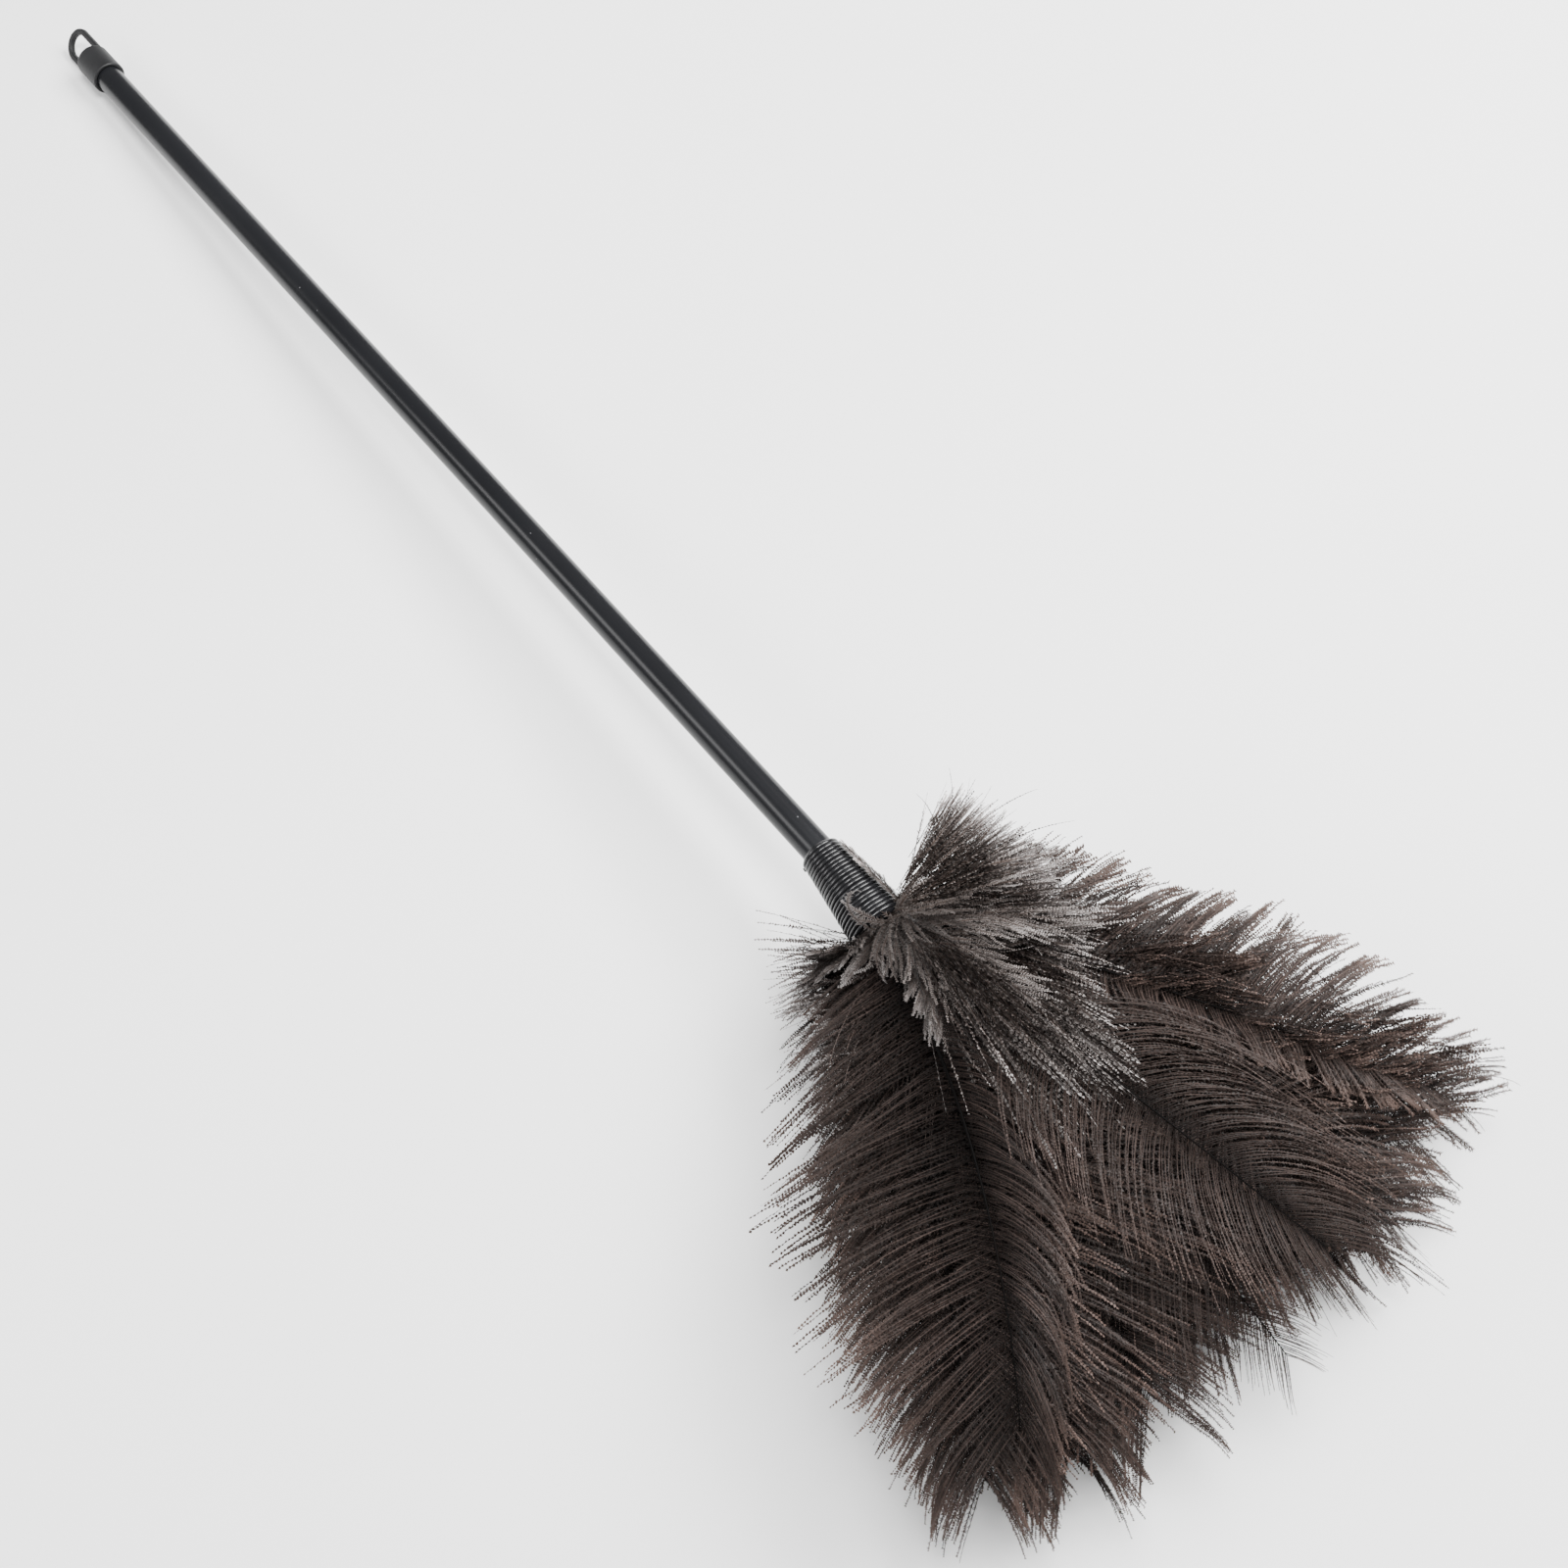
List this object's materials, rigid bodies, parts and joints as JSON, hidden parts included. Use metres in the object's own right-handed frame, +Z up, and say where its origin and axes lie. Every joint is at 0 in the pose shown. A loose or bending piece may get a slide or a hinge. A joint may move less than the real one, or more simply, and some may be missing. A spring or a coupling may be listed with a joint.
{
  "type": "feather duster",
  "caption": "Long slim feather duster: painted tube handle with a hanging loop cap, coated wire binding, and a fanned head of soft plumes with a downy collar.",
  "frame": {"origin": "centre of the bounding box, on the surface that the duster lies on", "axes": "+X from the hanging cap along the handle to the feather head, +Y to the left of the handle, +Z up"},
  "size_m": [0.8485, 0.2634, 0.1168],
  "materials": {
    "black_paint": "satin black paint",
    "cap_plastic": "matt moulded black plastic",
    "coated_wire": "semi-gloss black plastic coating",
    "plug_wood": "bare turned wood",
    "brown_plume": "dark brown feather barbs, lighter at the tips",
    "grey_down": "grey-brown down with pale ends"
  },
  "bodies": {
    "root": {"collar_plume_1": "grey_down", "collar_plume_10": "grey_down", "collar_plume_11": "grey_down", "collar_plume_12": "grey_down", "collar_plume_13": "grey_down", "collar_plume_14": "grey_down", "collar_plume_15": "grey_down", "collar_plume_16": "grey_down", "collar_plume_2": "grey_down", "collar_plume_3": "grey_down", "collar_plume_4": "grey_down", "collar_plume_5": "grey_down", "collar_plume_6": "grey_down", "collar_plume_7": "grey_down", "collar_plume_8": "grey_down", "collar_plume_9": "grey_down", "core_plume_1": "brown_plume", "core_plume_2": "brown_plume", "core_plume_3": "brown_plume", "core_plume_4": "brown_plume", "core_plume_5": "brown_plume", "core_plume_6": "brown_plume", "core_plume_7": "brown_plume", "handle_tube": "black_paint", "hanging_cap": "cap_plastic", "inner_plume_1": "brown_plume", "inner_plume_2": "brown_plume", "inner_plume_3": "brown_plume", "inner_plume_4": "brown_plume", "inner_plume_5": "brown_plume", "inner_plume_6": "brown_plume", "inner_plume_7": "brown_plume", "lower_plume_1": "brown_plume", "lower_plume_2": "brown_plume", "lower_plume_3": "brown_plume", "lower_plume_4": "brown_plume", "lower_plume_5": "brown_plume", "lower_plume_6": "brown_plume", "neck_plume": "grey_down", "outer_binding": "coated_wire", "top_plume_1": "brown_plume", "top_plume_2": "brown_plume", "tube_plug": "plug_wood", "under_plume_1": "brown_plume", "under_plume_2": "brown_plume", "under_plume_3": "brown_plume", "upper_plume_1": "brown_plume", "upper_plume_2": "brown_plume", "upper_plume_3": "brown_plume", "upper_plume_4": "brown_plume", "upper_plume_5": "brown_plume", "upper_plume_6": "brown_plume"}
  },
  "joints": []
}
